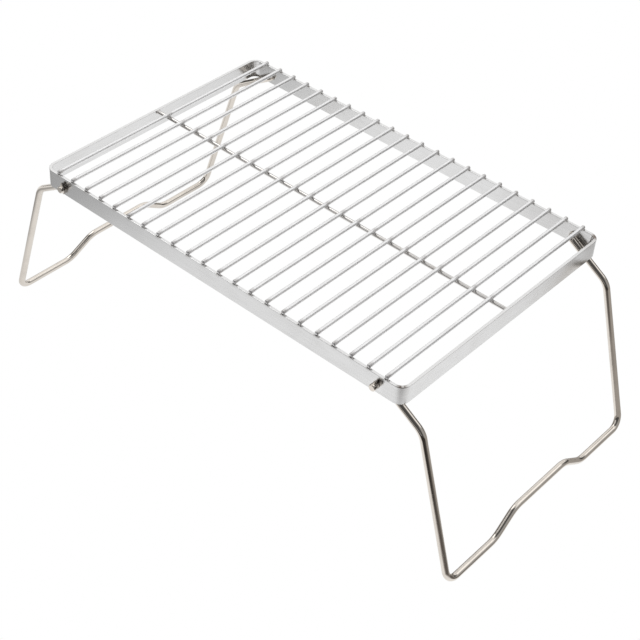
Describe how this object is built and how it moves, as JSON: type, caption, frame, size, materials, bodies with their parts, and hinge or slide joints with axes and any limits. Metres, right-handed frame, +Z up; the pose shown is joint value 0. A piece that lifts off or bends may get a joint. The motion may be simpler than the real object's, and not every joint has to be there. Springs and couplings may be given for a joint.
{
  "type": "folding camp grill",
  "caption": "Rectangular grate of parallel rods on a flat-bar frame, standing on bent-wire legs that fold up underneath it, for cooking over a camp fire.",
  "frame": {"origin": "on the ground, midway between the legs and between the long rails", "axes": "+X along the grate's long side, +Y along the cross rods, +Z up"},
  "size_m": [0.5928, 0.3116, 0.2037],
  "materials": {
    "satin_steel": "satin plated",
    "bright_steel": "polished"
  },
  "bodies": {
    "grate": {"frame_band": "satin_steel", "centre_rod": "bright_steel", "cross_rod_01": "satin_steel", "cross_rod_02": "satin_steel", "cross_rod_03": "satin_steel", "cross_rod_04": "satin_steel", "cross_rod_05": "satin_steel", "cross_rod_06": "satin_steel", "cross_rod_07": "satin_steel", "cross_rod_08": "satin_steel", "cross_rod_09": "satin_steel", "cross_rod_10": "satin_steel", "cross_rod_11": "satin_steel", "cross_rod_12": "satin_steel", "cross_rod_13": "satin_steel", "cross_rod_14": "satin_steel", "cross_rod_15": "satin_steel", "cross_rod_16": "satin_steel", "cross_rod_17": "satin_steel", "cross_rod_18": "satin_steel", "cross_rod_19": "satin_steel", "cross_rod_20": "satin_steel", "cross_rod_21": "satin_steel", "cross_rod_22": "satin_steel"},
    "left_leg": {"left_leg": "bright_steel"},
    "right_leg": {"right_leg": "bright_steel"}
  },
  "joints": [
    {"name": "left_leg_fold", "type": "hinge", "parent": "grate", "child": "left_leg", "pos_m": [-0.197, 0, 0.1888], "axis": [0, -1, 0], "range_deg": [0, 119]},
    {"name": "right_leg_fold", "type": "hinge", "parent": "grate", "child": "right_leg", "pos_m": [0.197, 0, 0.1888], "axis": [0, 1, 0], "range_deg": [0, 115.5]}
  ]
}
